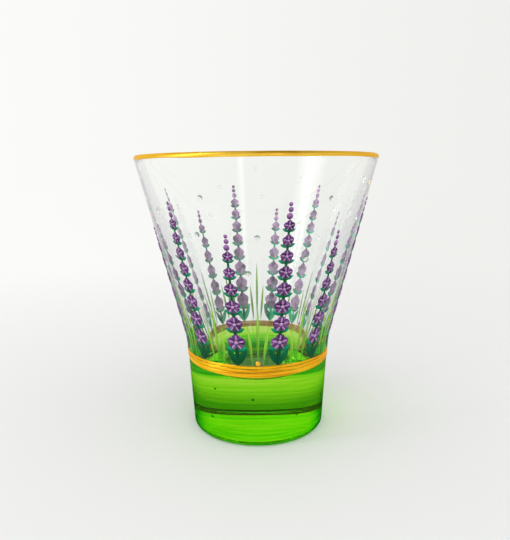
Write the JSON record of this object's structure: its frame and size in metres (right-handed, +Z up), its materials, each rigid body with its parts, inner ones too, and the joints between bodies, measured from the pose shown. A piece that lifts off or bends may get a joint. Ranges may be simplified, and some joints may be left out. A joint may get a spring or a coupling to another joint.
{
  "type": "painted glass tumbler",
  "caption": "Flared clear glass tumbler with a solid green-coated base, gold band and lip, and a ring of raised painted flower sprigs; it holds a drink and stands on its flat foot.",
  "frame": {"origin": "centre of the foot, on the surface that the glass stands on", "axes": "+Z up along the axis of the glass; -Y is the side that faces the viewer in the picture"},
  "size_m": [0.0862, 0.0862, 0.1001],
  "materials": {
    "clear_glass": "polished",
    "green_coat": "transparent glossy paint",
    "green_coat_pooled": "transparent glossy paint",
    "gold_paint": "brushed metallic paint",
    "gold_lip": "smooth metallic paint",
    "dark_green_enamel": "satin enamel",
    "leaf_green_enamel": "satin enamel",
    "teal_green_enamel": "satin enamel",
    "purple_enamel": "satin enamel",
    "lilac_enamel": "satin enamel",
    "pale_lilac_enamel": "satin enamel",
    "violet_enamel": "satin enamel",
    "grass_green_paint": "thin glossy paint",
    "clear_relief": "glossy drops"
  },
  "bodies": {
    "root": {"glass_body": "clear_glass", "base_green_coat": "green_coat", "base_coat_pooled_rim": "green_coat_pooled", "gold_band_lower_stroke": "gold_paint", "gold_band_middle_stroke": "gold_paint", "gold_band_upper_stroke": "gold_paint", "gold_beads": "gold_paint", "lip_gilding": "gold_lip", "tall_sprig_stems": "dark_green_enamel", "short_sprig_stems": "dark_green_enamel", "sprig_foot_leaves": "leaf_green_enamel", "blossom_cups": "teal_green_enamel", "tall_sprig_blossoms": "purple_enamel", "short_sprig_blossoms": "purple_enamel", "blossom_light_strokes": "lilac_enamel", "blossom_hearts": "pale_lilac_enamel", "tip_buds": "violet_enamel", "long_grass_blades": "grass_green_paint", "short_grass_blades": "grass_green_paint", "clear_drops": "clear_relief"}
  },
  "joints": []
}
